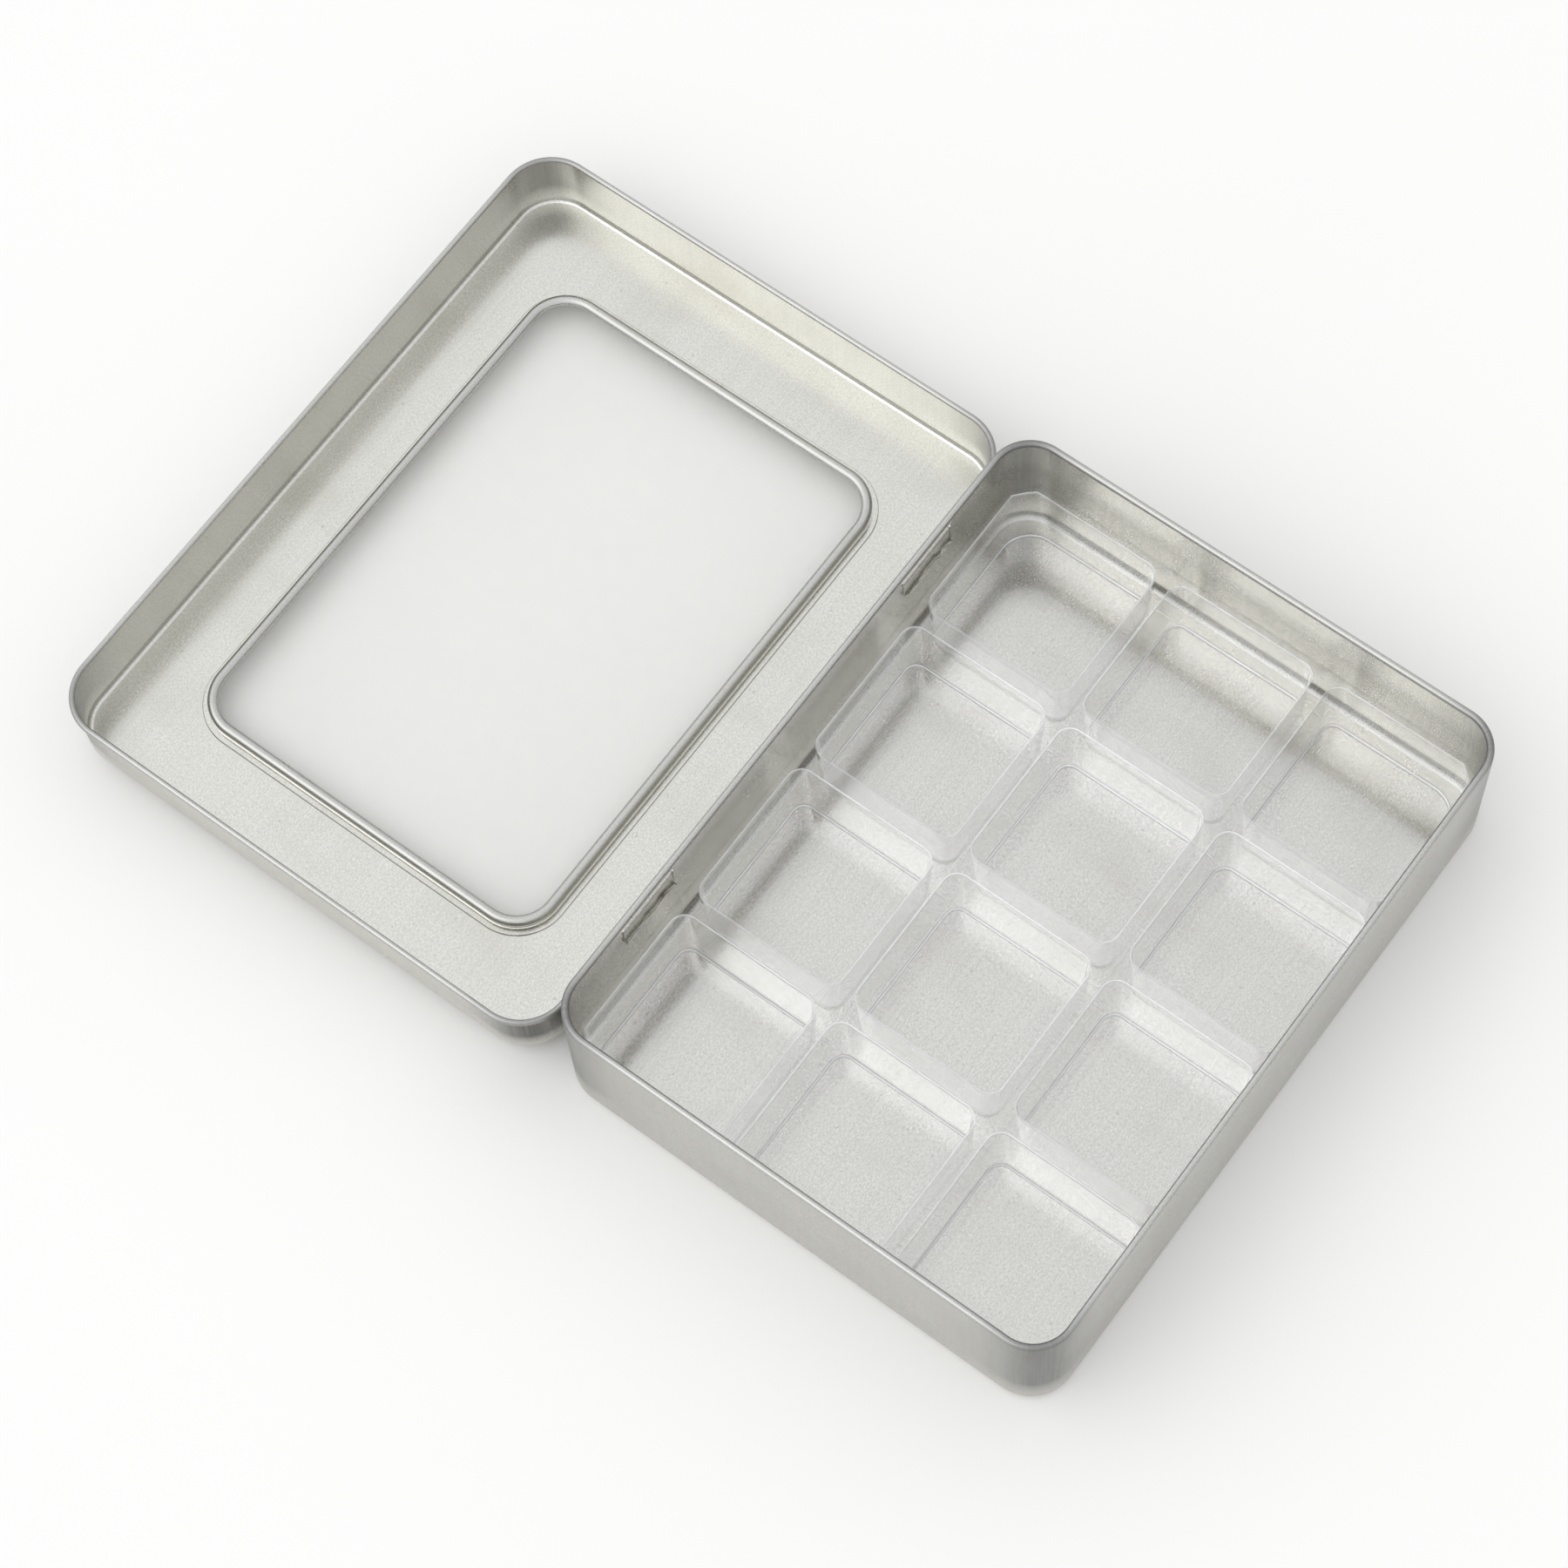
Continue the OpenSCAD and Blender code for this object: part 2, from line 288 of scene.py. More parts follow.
def corner_ends(turn):
    """The ways out at the start and the end of a rectangle's corner, counted from its +X side."""
    start = Vector((math.cos(QUARTER_TURN * turn), math.sin(QUARTER_TURN * turn)))
    end = Vector((-start.y, start.x))
    return start, end


def arc(centre_inset, centre_z, radius, start, end, steps):
    """Points (inset, z) along an arc of a profile. Angles are in degrees: 0 points outward, 90 up,
    180 inward, and -90 or 270 down."""
    angles = [math.radians(start + (end - start) * step / steps) for step in range(steps + 1)]
    return [(centre_inset - radius * math.cos(a), centre_z + radius * math.sin(a)) for a in angles]


def profile(places, points, rim_z=math.inf, marks_and_shade_z=math.inf, crimps=None, wear=0, drawn=1):
    """Rows through the (inset, z) points of a profile. Above rim_z the surface is worn and painted darkest
    as shade, and above the next height it has draw marks with their painted shade, by the share given
    last."""
    rows = []
    run = -points[0][0]
    for number, (inset, z) in enumerate(points):
        if number:
            run += math.dist(points[number - 1], points[number])
        crimp = crimps(inset, z) if crimps else (0, 0)
        row_wear_and_painted_light = 1 if z > rim_z else wear
        row_marks_and_shade = drawn if z > marks_and_shade_z else 0
        rows.append(Row(places, inset, z, run, row_wear_and_painted_light, row_marks_and_shade, crimp))
    return rows


def ring(row):
    """The points of one row of a loft."""
    points = []
    for station in row.stations:
        reach = station.radius - row.inset
        outward, up = row.crimp
        slanted = station.along + row.run * row.slant
        crease = station.bend * noise.noise(Vector((slanted / CREASE_LENGTH, 0, CREASE_SEED)))
        flat = station.pivot + station.outward * (reach + outward * crease)
        plan = station.pivot + station.outward * (station.radius + row.run)
        place = Vector((flat.x, flat.y, row.z + up * crease))
        points.append(Point(place, plan, (station.along, row.run), row.wear, station.drawn * row.drawn))
    return points


def between(first, second, share):
    """A ring part of the way from one ring to another, without wear and the painted light that comes with
    it.
    """
    return [
        Point(a.place.lerp(b.place, share), a.plan.lerp(b.plan, share), a.unrolled, 0, a.drawn)
        for a, b in zip(first, second)
    ]


class Surface:
    """A mesh made of rings of points. Its UV maps are the flat sheet it was formed from, "plan", and
    the distances along outline and profile, "unrolled"."""

    def __init__(self):
        self.bm = bmesh.new()
        self.plan = self.bm.loops.layers.uv.new("plan")
        self.unrolled = self.bm.loops.layers.uv.new("unrolled")
        self.wear = self.bm.verts.layers.float.new("wear")
        self.drawn = self.bm.verts.layers.float.new("drawn")

    def add_ring(self, points):
        verts = []
        for point in points:
            vert = self.bm.verts.new(point.place)
            vert[self.wear] = point.wear
            vert[self.drawn] = point.drawn
            verts.append(vert)
        return verts

    def add_face(self, verts, points):
        face = self.bm.faces.new(verts)
        for loop, point in zip(face.loops, points):
            loop[self.plan].uv = point.plan
            loop[self.unrolled].uv = point.unrolled

    def bridge(self, first, second, first_points, second_points):
        count = len(first)
        for i in range(count):
            j = (i + 1) % count
            corners = [first_points[i], first_points[j], second_points[j], second_points[i]]
            self.add_face([first[i], first[j], second[j], second[i]], corners)

    def loft(self, rings, closed=False, cap_first=False, cap_last=False):
        loops = [self.add_ring(points) for points in rings]
        for i in range(len(loops) - 1):
            self.bridge(loops[i], loops[i + 1], rings[i], rings[i + 1])
        if closed:
            self.bridge(loops[-1], loops[0], rings[-1], rings[0])
        if cap_first:
            self.add_face(loops[0], rings[0])
        if cap_last:
            self.add_face(loops[-1], rings[-1])

    def finish(self, name, facing_up=False):
        """Makes the object. An open surface that faces up has its highest face turned upward."""
        bmesh.ops.remove_doubles(self.bm, verts=self.bm.verts, dist=MERGE_DISTANCE)
        bmesh.ops.recalc_face_normals(self.bm, faces=self.bm.faces)
        highest = max(self.bm.faces, key=lambda face: face.calc_center_median().z)
        if facing_up and highest.normal.z < 0:
            bmesh.ops.reverse_faces(self.bm, faces=self.bm.faces)
        mesh = bpy.data.meshes.new(name)
        self.bm.to_mesh(mesh)
        self.bm.free()
        mesh.shade_smooth()
        mesh.set_sharp_from_angle(angle=SHARP_ANGLE)
        return linked_object(name, mesh)


def linked_object(name, data):
    """A new object in the scene."""
    made = bpy.data.objects.new(name, data)
    bpy.context.scene.collection.objects.link(made)
    return made


def plain_block(name, outline, depth):
    """A solid made by pushing a closed outline of 3-D points along depth."""
    bm = bmesh.new()
    face = bm.faces.new([bm.verts.new(point) for point in outline])
    pushed = bmesh.ops.extrude_face_region(bm, geom=[face])
    moved = [item for item in pushed["geom"] if isinstance(item, bmesh.types.BMVert)]
    bmesh.ops.translate(bm, verts=moved, vec=depth)
    bmesh.ops.recalc_face_normals(bm, faces=bm.faces)
    mesh = bpy.data.meshes.new(name)
    bm.to_mesh(mesh)
    bm.free()
    return linked_object(name, mesh)


def cut_away(piece, cutters):
    """Cuts each block out of a piece for good, then deletes the blocks."""
    for cutter in cutters:
        cut = piece.modifiers.new("cut", "BOOLEAN")
        cut.operation = "DIFFERENCE"
        cut.solver = "EXACT"
        cut.object = cutter
    depsgraph = bpy.context.evaluated_depsgraph_get()
    cut_mesh = bpy.data.meshes.new_from_object(piece.evaluated_get(depsgraph))
    piece.modifiers.clear()
    piece.data = cut_mesh
    for cutter in cutters:
        bpy.data.objects.remove(cutter)


def thicken(piece, thickness, offset):
    """Gives an open surface a thickness. Offset 0 is half to each side, and -1 is all behind it."""
    solid = piece.modifiers.new("thickness", "SOLIDIFY")
    solid.thickness = thickness
    solid.offset = offset


# ---------------------------------------------------------------- tin pieces


def strap_centres():
    """Place along the hinge of the middle of each strap."""
    boxes = [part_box(name) for name in ("hinge_strap_left", "hinge_strap_right")]
    return [(low.x + high.x) / 2 for low, high in boxes]


def slot_block(middle, wall_y):
    """Block with rounded corners that cuts one strap slot through the base's hinge wall."""
    outline = []
    centre = Vector((middle, SLOT_BOTTOM + SLOT_HEIGHT / 2))
    corners = [SLOT_CORNER] * 4
    steps = {"arc_steps": SLOT_CORNER_STEPS, "side_steps": 1}
    for station in stations(centre, SLOT_WIDTH / 2, SLOT_HEIGHT / 2, corners, **steps):
        spot = station.pivot + station.outward * station.radius
        outline.append(Vector((spot.x, wall_y - SLOT_CUT_DEPTH / 2, spot.y)))
    return plain_block("slot_block", outline, Vector((0, SLOT_CUT_DEPTH, 0)))


def base_tin():
    """The base: one shell, formed by drawing, with its rim rolled inwards and a slot for each strap."""
    low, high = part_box("base_tin")
    centre = (low + high) / 2
    places = stations(centre, (high.x - low.x) / 2, (high.y - low.y) / 2, [BASE_CORNER] * 4)
    wall = [BASE_FOOT + (high.z - BASE_FOOT) * share for share in BASE_WALL_SHARES]
    rim_z = high.z - BASE_RIM
    outside = [(BASE_FOOT + FLAT_EDGE, 0)]
    outside += arc(BASE_FOOT, BASE_FOOT, BASE_FOOT, -90, 0, FOOT_STEPS)
    outside += [(0, z) for z in wall]
    outside += arc(BASE_RIM, rim_z, BASE_RIM, 0, ROLL_TURN, ROLL_STEPS)
    heel_middle = SHEET + BASE_HEEL
    inside = [(BASE_FOOT + FLAT_EDGE, SHEET)]
    inside += arc(heel_middle, heel_middle, BASE_HEEL, -90, 0, FOOT_STEPS)
    inside += [(SHEET, z) for z in wall]
    inside += arc(BASE_RIM, rim_z, BASE_RIM - SHEET, 0, ROLL_TURN, ROLL_INSIDE_STEPS)
    # Outside, wear and painted shade darken the whole wall, with the full draw marks and their painted
    # shade; inside, these are weaker
    rows = profile(places, outside, rim_z, BASE_FOOT, wear=OUTSIDE_WEAR_AND_SHADE)
    rows += profile(places, inside, rim_z, BASE_FOOT, drawn=INSIDE_MARKS_AND_SHADE)[::-1]
    surface = Surface()
    surface.loft([ring(row) for row in rows], cap_first=True, cap_last=True)
    piece = surface.finish("base_tin_shell")
    cut_away(piece, [slot_block(middle, high.y) for middle in strap_centres()])
    return piece


def notch_block(middle, rim_y, rim_z):
    """Block that cuts the lid's skirt under its rolled rim, where a strap loops round the rim."""
    low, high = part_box("hinge_strap_left")
    width = high.x - low.x + NOTCH_END_GAP * 2
    loop = LID_RIM + HINGE_FIT + SHEET + NOTCH_ROOM
    section = arc(0, rim_z, loop, NOTCH_START, NOTCH_END, NOTCH_STEPS)
    section += arc(0, rim_z, LID_RIM, NOTCH_END, NOTCH_START, NOTCH_STEPS)
    outline = [Vector((middle - width / 2, rim_y - inset, z)) for inset, z in section]
    return plain_block("notch_block", outline, Vector((width, 0, 0)))


def curb_points(floor_z):
    """The lid panel turned up and in round the window opening, from its underside to its top."""
    top = floor_z + SHEET + CURB_HEIGHT
    wall = CURB_INSET + SHEET
    points = [(-FLAT_EDGE, floor_z)]
    points += arc(wall - CURB_BEND, floor_z + CURB_BEND, CURB_BEND, 270, 180, CURB_STEPS)
    points += [(wall, top - SHEET), (CURB_INSET + CURB_LEDGE, top - SHEET)]
    points += [(CURB_INSET + CURB_LEDGE, top), (CURB_INSET, top), (CURB_INSET, floor_z + SHEET)]
    return points


def window_stations():
    """Places round the outermost line of the window frame's bead."""
    low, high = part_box("window_ring")
    half_x = (high.x - low.x) / 2 - FOOT_REACH
    half_y = (high.y - low.y) / 2 - FOOT_REACH
    return stations((low + high) / 2, half_x, half_y, [FRAME_CORNER] * 4)


def lid_tin():
    """The lid, open with its rim up: one shell, formed by drawing, with a rolled rim and a window opening.
    """
    low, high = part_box("lid_tin")
    places = stations((low + high) / 2, (high.x - low.x) / 2, (high.y - low.y) / 2, [LID_CORNER] * 4)
    window = window_stations()
    rim_z = high.z - LID_RIM
    face = LID_RIM * 2 - SHEET
    foot_z = low.z + LID_FOOT
    foot_inset = face + LID_FOOT
    wall = [foot_z + (rim_z - foot_z) * share for share in LID_WALL_SHARES]
    heel_middle = SHEET + LID_HEEL
    roll_end = 180 - ROLL_TURN
    inside = [(foot_inset + FLAT_EDGE, low.z + SHEET)]
    inside += arc(face + heel_middle, low.z + heel_middle, LID_HEEL, -90, 0, FOOT_STEPS)
    inside += [(face + SHEET, z) for z in wall]
    inside += arc(LID_RIM, rim_z, LID_RIM, 180, roll_end, ROLL_STEPS)
    outside = [(foot_inset + FLAT_EDGE, low.z)]
    outside += arc(foot_inset, foot_z, LID_FOOT, -90, 0, FOOT_STEPS)
    outside += [(face, z) for z in wall]
    outside += arc(LID_RIM, rim_z, LID_RIM - SHEET, 180, roll_end, ROLL_INSIDE_STEPS)
    rows = profile(window, [(-FOOT_REACH - FLAT_EDGE, low.z + SHEET)])
    # Inside, the draw marks and their painted shade are weaker than outside
    rows += profile(places, inside, rim_z, foot_z, drawn=INSIDE_MARKS_AND_SHADE)
    rows += profile(places, outside, rim_z, foot_z)[::-1]
    rows += profile(window, curb_points(low.z))
    surface = Surface()
    surface.loft([ring(row) for row in rows], closed=True)
    piece = surface.finish("lid_tin_shell")
    cut_away(piece, [notch_block(middle, low.y + LID_RIM, rim_z) for middle in strap_centres()])
    return piece


def window_frame():
    """The rolled bead round the window, on a wall with a flared foot that is crimped at its corners."""
    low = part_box("window_ring")[0]
    bead_z = low.z + FRAME_HEIGHT - BEAD_RADIUS
    wall = CURB_INSET - SHEET
    bend_z = low.z + FOOT_BEND + SHEET
    bend_inset = wall - FOOT_BEND
    under_bead = -math.degrees(math.acos((BEAD_RADIUS - wall) / BEAD_RADIUS))
    in_bead = -math.degrees(math.acos((BEAD_RADIUS - CURB_INSET) / (BEAD_RADIUS - SHEET)))
    outside = [(-FOOT_REACH, low.z + SHEET / 2), (-FOOT_REACH + SHEET / 2, low.z + SHEET)]
    outside += arc(bend_inset, bend_z, FOOT_BEND, 270, 180, FRAME_FOOT_STEPS)
    outside += arc(BEAD_RADIUS, bead_z, BEAD_RADIUS, under_bead, BEAD_END, BEAD_STEPS)
    inside = [(-FOOT_REACH + SHEET / 2, low.z)]
    inside += arc(bend_inset, bend_z, FOOT_BEND + SHEET, 270, 180, FRAME_FOOT_STEPS)
    inside += arc(BEAD_RADIUS, bead_z, BEAD_RADIUS - SHEET, in_bead, BEAD_END, BEAD_INSIDE_STEPS)

    def foot_crimp(inset, z):
        on_foot = inset < bend_inset and z < bend_z
        return (0, FOOT_CRIMP) if on_foot else (0, 0)

    places = window_stations()
    # Above the bead's middle the frame is worn and painted darker as shade
    rows = [row._replace(slant=1) for row in profile(places, outside, bead_z, crimps=foot_crimp)]
    rows += profile(places, inside)[::-1]
    surface = Surface()
    surface.loft([ring(row) for row in rows], closed=True)
    return surface.finish("window_frame")


def turn_points(centre_y, centre_z, radius, start, turn, steps, first=0):
    """Points (y, z) along an arc of the strap's path, from the step called first to the last one. The
    arc starts at one angle and turns by another, in degrees: 0 points out of the base, and 90 up."""
    angles = [math.radians(start + turn * step / steps) for step in range(first, steps + 1)]
    return [(centre_y + radius * math.cos(a), centre_z + radius * math.sin(a)) for a in angles]


def strap_path(wall_y, hinge_y, hinge_z):
    """Centre line (y, z) of a hinge strap: loop round the lid's rim, bridge to the wall, plate up it,
    fold over the slot's lower edge and tongue down the inside with a curl at its end."""
    half = SHEET / 2
    loop = LID_RIM + HINGE_FIT + half
    plate_y = wall_y + half
    bridge_z = hinge_z + loop
    path = turn_points(hinge_y, hinge_z, loop, LOOP_START, LOOP_TURN, STRAP_LOOP_STEPS)
    bend_y = plate_y + BRIDGE_BEND
    bend_z = bridge_z + BRIDGE_BEND
    path += turn_points(bend_y, bend_z, BRIDGE_BEND, 270, -90, STRAP_BRIDGE_STEPS, first=1)
    path += [(plate_y, bridge_z + (SLOT_BOTTOM - bridge_z) * share) for share in PLATE_SHARES]
    path += turn_points(wall_y - half, SLOT_BOTTOM, SHEET, 0, 180, STRAP_FOLD_STEPS)
    tongue_y = wall_y - SHEET - half
    end_z = SLOT_BOTTOM - TONGUE_LENGTH
    path += [(tongue_y, SLOT_BOTTOM + (end_z - SLOT_BOTTOM) * share) for share in TONGUE_SHARES]
    curl = TONGUE_CURL - half
    path += turn_points(tongue_y - curl, end_z, curl, 0, CURL_TURN, STRAP_FOLD_STEPS)
    return path


def hinge_strap(node, name):
    """A strap bent along its path, with the end of its tongue a little ragged."""
    low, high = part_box(node)
    wall_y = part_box("base_tin")[1].y
    hinge = frame["record"]["behaviour"]["joints"][0]["pos_m"]
    path = strap_path(wall_y, hinge[1], hinge[2])
    bm = bmesh.new()
    plan = bm.loops.layers.uv.new("plan")
    grid = []
    run = 0
    for number, (y, z) in enumerate(path):
        if number:
            run += math.dist(path[number - 1], (y, z))
        inside = max(0, wall_y - SHEET - y) * max(0, SLOT_BOTTOM - z) / TONGUE_LENGTH
        line = []
        for column in range(STRAP_COLUMNS + 1):
            x = low.x + (high.x - low.x) * column / STRAP_COLUMNS
            ragged = noise.noise(Vector((x / RAGGED_LENGTH, 0, low.x / MM)))
            vert = bm.verts.new((x, y, z + inside * ragged))
            line.append((vert, Vector((run, x))))
        grid.append(line)
    for upper, lower in zip(grid, grid[1:]):
        for i in range(STRAP_COLUMNS):
            corners = [upper[i], upper[i + 1], lower[i + 1], lower[i]]
            face = bm.faces.new([vert for vert, _ in corners])
            for loop, (_, spot) in zip(face.loops, corners):
                loop[plan].uv = spot
    mesh = bpy.data.meshes.new(name)
    bm.to_mesh(mesh)
    bm.free()
    mesh.shade_smooth()
    piece = linked_object(name, mesh)
    thicken(piece, SHEET, 0)
    return piece


# ---------------------------------------------------------------- clear insert


def tile_edge(mouth, low, high, cut):
    """Outer edge of one compartment's share of the flange, with a point for each place round its mouth."""
    corners = [(high.x, high.y), (low.x, high.y), (low.x, low.y), (high.x, low.y)]
    points = []
    for number, station in enumerate(mouth):
        turn, step = divmod(number, ARC_STEPS + SIDE_STEPS)
        here = station.pivot
        if step > ARC_STEPS:
            spot = here + station.outward * PAST_EDGES
            spot = Vector((min(max(spot.x, low.x), high.x), min(max(spot.y, low.y), high.y)))
        else:
            start, end = corner_ends(turn)
            corner = Vector(corners[turn])
            first = here + start * (corner - here).dot(start)
            last = here + end * (corner - here).dot(end)
            share = step / ARC_STEPS
            if turn in cut:
                cut_first = corner - end * FLANGE_CHAMFER
                cut_last = corner - start * FLANGE_CHAMFER
                spot = along_path([first, cut_first, cut_last, last], share)
            else:
                spot = along_path([first, corner, last], share)
        place = Vector((spot.x, spot.y, high.z))
        points.append(Point(place, spot, (station.along, 0), 0, 0))
    return points


def along_path(points, share):
    """The spot a share of the way along a path, each leg counting the same."""
    legs = len(points) - 1
    leg = min(int(share * legs), legs - 1)
    return points[leg].lerp(points[leg + 1], share * legs - leg)


def compartment(surface, column, row, low, high):
    """One pocket of the insert with its share of the flange."""
    middle = (low + high) / 2
    centre = Vector((
        middle.x + (column - (CELLS_X - 1) / 2) * PITCH_X,
        middle.y + (row - (CELLS_Y - 1) / 2) * PITCH_Y,
    ))
    edge_low = Vector((
        low.x if column == 0 else centre.x - PITCH_X / 2,
        low.y if row == 0 else centre.y - PITCH_Y / 2,
    ))
    edge_high = Vector((
        high.x if column == CELLS_X - 1 else centre.x + PITCH_X / 2,
        high.y if row == CELLS_Y - 1 else centre.y + PITCH_Y / 2,
        high.z,
    ))
    # The four end compartments have one corner cut, which stations() numbers from 0 to 3
    ends = {(CELLS_X - 1, CELLS_Y - 1): 0, (0, CELLS_Y - 1): 1, (0, 0): 2, (CELLS_X - 1, 0): 3}
    cut = [ends[column, row]] if (column, row) in ends else []
    mouth_radii = [CUT_CORNER if turn in cut else CELL_CORNER for turn in range(4)]
    foot_radii = [CUT_FOOT_CORNER if turn in cut else CELL_CORNER for turn in range(4)]
    mouth = stations(centre, CELL_X / 2, CELL_Y / 2, mouth_radii, cut)
    foot = stations(centre, CELL_X / 2 - CELL_LEAN, CELL_Y / 2 - CELL_LEAN, foot_radii)
    foot = [below._replace(along=above.along) for above, below in zip(mouth, foot)]
    floor_z = low.z + TRAY_WALL

    def corner_creases(_, z):
        depth = min((high.z - z) / CELL_LIP, (z - floor_z) / CELL_FOOT, 1)
        return CELL_CREASE * max(depth, 0), 0

    lip_arc = arc(-CELL_LIP, high.z - CELL_LIP, CELL_LIP, 90, 180, CELL_LIP_STEPS)
    lip = profile(mouth, [(-CELL_LIP_MARGIN, high.z)])
    # The lip's bend is white from strain and from a painted highlight
    lip += profile(mouth, lip_arc, crimps=corner_creases, wear=1)
    lip = [ring(r) for r in lip]
    bottom = arc(CELL_FOOT, floor_z + CELL_FOOT, CELL_FOOT, 0, -90, CELL_FOOT_STEPS)
    bottom.append((CELL_FOOT + FLAT_EDGE, floor_z))
    # Only the low, upward-facing part of the foot's bend is white, from strain and from a painted
    # highlight of the light from above
    heel = []
    for r in profile(foot, bottom, crimps=corner_creases):
        lift = (r.z - floor_z) / CELL_FOOT
        heel.append(ring(r._replace(wear=float(WHITENED_HIGHLIGHT_LOW < lift < WHITENED_HIGHLIGHT_HIGH))))
    rings = [tile_edge(mouth, edge_low, edge_high, cut)]
    rings += lip
    rings += [between(lip[-1], heel[0], share) for share in CELL_WALL_SHARES]
    rings += heel
    surface.loft(rings, cap_last=True)


def insert_tray():
    """The clear insert: one formed sheet with twelve pockets."""
    low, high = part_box("insert_tray")
    surface = Surface()
    for column in range(CELLS_X):
        for row in range(CELLS_Y):
            compartment(surface, column, row, low, high)
    piece = surface.finish("clear_insert", facing_up=True)
    thicken(piece, TRAY_WALL, -1)
    return piece


# ---------------------------------------------------------------- materials

# Below, a noise is its patches per metre and its detail, a range is the values of a noise or a slant
# over which a mark comes in, and a bump is its strength and its height.
WHOLE = (0, 1)
MIDDLE = (0.3, 0.7)


class Tree:
    """Short way to build the node tree of a material or a world."""

    def __init__(self, owner):
        owner.use_nodes = True
        self.tree = owner.node_tree
        self.tree.nodes.clear()

    def add(self, kind, inputs=None, **settings):
        """A new node. An input given as a socket is linked, and any other is set as its own value."""
        node = self.tree.nodes.new(kind)
        for name, value in settings.items():
            setattr(node, name, value)
        for socket, value in (inputs or {}).items():
            if isinstance(value, bpy.types.NodeSocket):
                self.tree.links.new(value, node.inputs[socket])
            else:
                node.inputs[socket].default_value = value
        return node

    def uv_map(self, name):
        return self.add("ShaderNodeUVMap", uv_map=name).outputs[0]

    def attribute(self, name):
        return self.add("ShaderNodeAttribute", attribute_name=name).outputs["Fac"]

    def front(self):
        """1 on the side that faces out, and 0 on the back."""
        return self.maths("SUBTRACT", 1.0, self.add("ShaderNodeNewGeometry").outputs["Backfacing"])

    def noise(self, vector, patches, detail):
        """Soft noise from 0 to 1, with its patches per metre given for each axis."""
        stretched = self.add("ShaderNodeMapping", {"Vector": vector, "Scale": patches}).outputs[0]
        inputs = {"Vector": stretched, "Scale": 1.0, "Detail": detail}
        return self.add("ShaderNodeTexNoise", inputs).outputs[0]

    def even_noise(self, patches, detail):
        """Noise in the object's own space with the same patches per metre along all three axes."""
        place = self.add("ShaderNodeTexCoord").outputs["Object"]
        return self.noise(place, (patches, patches, patches), detail)

    def spread(self, value, start, end):
        """Turns values across the range start into values across the range end, and never beyond it."""
        inputs = {0: value, 1: start[0], 2: start[1], 3: end[0], 4: end[1]}
        return self.add("ShaderNodeMapRange", inputs).outputs[0]

    def maths(self, operation, first, second=0.0):
        return self.add("ShaderNodeMath", {0: first, 1: second}, operation=operation).outputs[0]

    def times(self, first, second):
        return self.maths("MULTIPLY", first, second)

    def plus(self, first, second):
        return self.maths("ADD", first, second)

    def mix_colour(self, factor, first, second):
        """Mixes two colours, which are inputs 6 and 7 and output 2 of the Mix node."""
        mixed = self.add("ShaderNodeMix", {0: factor, 6: first, 7: second}, data_type="RGBA")
        return mixed.outputs[2]

    def bump(self, relief, size, normal=None):
        strength, height = size
        inputs = {"Height": relief, "Strength": strength, "Distance": height}
        if normal is not None:
            inputs["Normal"] = normal
        return self.add("ShaderNodeBump", inputs).outputs[0]

    def mix_shader(self, factor, first, second):
        inputs = {0: factor, 1: first.outputs[0], 2: second.outputs[0]}
        return self.add("ShaderNodeMixShader", inputs)

    def output(self, shader):
        self.add("ShaderNodeOutputMaterial", {"Surface": shader.outputs[0]})


# Tinplate's noises over the flat sheet, which was rolled along X
STREAKS = ((40, 1200, 1), 3)
SCRATCHES = ((1400, 6500, 1), 2)
GRAIN = ((1900, 3600, 1), 1)
PEBBLES = ((1000, 1300, 1), 1)
SMUDGES = ((55, 90, 1), 3)
SPECKS = ((700, 900, 1), 1)
STAINS = ((70, 40, 1), 2)
WAVES = ((22, 35, 1), 1)
# Draw marks, which also streak their painted shade, with X along the outline and Y up the wall
DRAW_MARKS = ((1500, 60, 1), 2)

# How much each of them colours the tin
STREAK_SHARE = 0.3
GRAIN_RANGE = (0.99, 1.33)
STAIN_RANGE = (0.5, 0.75)
STAIN_TINT = (0, 0.3)
SPECK_RANGE = (0.73, 0.78)
SPECK_TINT = (0, 0.4)
# Painted shade: how dark the draw marks and the worn rims and outside are painted
DRAWN_SHADE_RANGE = (0.78, 0.94)
DRAWN_SHADE_POWER = 1.5
WORN_SHADE_TINT = 0.45

# How rough they make it
SMUDGE_ROUGHNESS = (0.17, 0.24)
SCRATCH_RANGE = (0.7, 1.3)
SCRATCH_ROUGHNESS = (-0.05, 0.06)
DRAWN_ROUGHNESS = 0.12
WORN_ROUGHNESS = 0.1

# How they stand out as relief. The skin is pebbles with some of the scratches.
WAVE_BUMP = (0.2, 0.07 * MM)
DRAWN_BUMP = (0.3, 0.03 * MM)
SKIN_BUMP = (0.14, 0.02 * MM)
SKIN_PEBBLES = 0.6
SKIN_SCRATCHES = 0.4


